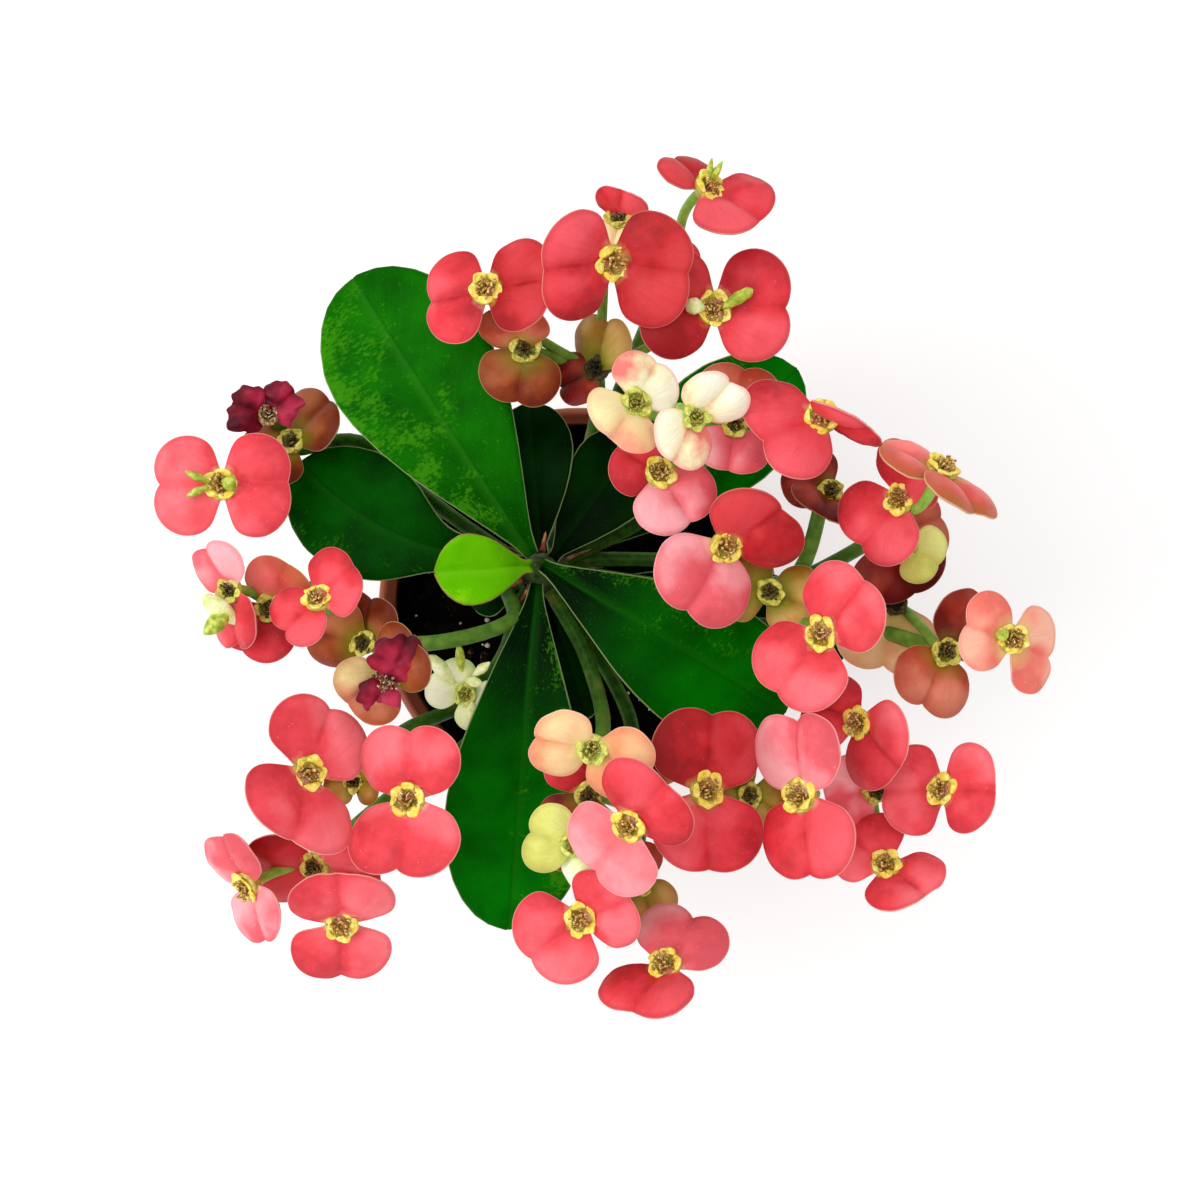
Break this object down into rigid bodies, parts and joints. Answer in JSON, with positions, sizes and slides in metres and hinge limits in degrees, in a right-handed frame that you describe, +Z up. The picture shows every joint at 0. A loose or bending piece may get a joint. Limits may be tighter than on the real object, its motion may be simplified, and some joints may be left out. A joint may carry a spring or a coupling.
{
  "type": "potted crown of thorns plant",
  "caption": "Flowering crown of thorns in a round nursery pot: spiny stem, rosette of broad leaves and branched trusses of two-bracted coral flower heads.",
  "frame": {"origin": "middle of the pot's flat underside, on the surface that it stands on", "axes": "+Z up; +X to the right and +Y to the top of the plant as seen from straight above"},
  "size_m": [0.247, 0.2267, 0.2546],
  "materials": {
    "pot_plastic": "satin",
    "potting_mix": "matte",
    "bark": "matte",
    "stalk": "satin",
    "leaf": "satin",
    "young_leaf": "satin",
    "bract": "satin",
    "pale_bract": "satin"
  },
  "bodies": {
    "root": {"pot": "pot_plastic", "potting_soil": "potting_mix", "main_stem": "bark", "leaf_back_left_large": "leaf", "leaf_left": "leaf", "leaf_young": "young_leaf", "leaf_back": "leaf", "leaf_back_right_short": "leaf", "leaf_right_large": "leaf", "leaf_front_large": "leaf", "leaf_front_narrow": "leaf", "leaf_left_under": "leaf", "leaf_back_right_large": "leaf", "leaf_right_under": "leaf", "flower_stalk_left_low": "stalk", "flower_stalk_left": "stalk", "flower_stalk_left_far": "stalk", "flower_stalk_left_young": "stalk", "flower_stalk_front_left": "stalk", "flower_stalk_front_left_low": "stalk", "flower_stalk_front": "stalk", "flower_stalk_front_low": "stalk", "flower_stalk_front_centre": "stalk", "flower_stalk_front_right": "stalk", "flower_stalk_right": "stalk", "flower_stalk_right_back": "stalk", "flower_stalk_centre_right": "stalk", "flower_stalk_back_right": "stalk", "flower_stalk_back_centre": "stalk", "flower_stalk_back": "stalk", "flower_stalk_back_far": "stalk", "flower_left_1": "bract", "flower_left_2": "bract", "flower_left_3": "bract", "flower_front_left_1": "bract", "flower_front_left_2": "bract", "flower_front_left_3": "bract", "flower_front_left_4": "bract", "flower_front_1": "pale_bract", "flower_front_2": "bract", "flower_front_3": "bract", "flower_front_4": "bract", "flower_front_5": "bract", "flower_front_right_1": "bract", "flower_front_right_2": "bract", "flower_front_right_3": "bract", "flower_front_right_4": "bract", "flower_right_1": "bract", "flower_right_2": "bract", "flower_right_3": "bract", "flower_right_4": "bract", "flower_centre_1": "bract", "flower_centre_2": "pale_bract", "flower_centre_3": "pale_bract", "flower_centre_4": "bract", "flower_back_right_1": "bract", "flower_back_1": "bract", "flower_back_2": "bract", "flower_back_3": "bract", "flower_back_4": "bract"}
  },
  "joints": []
}
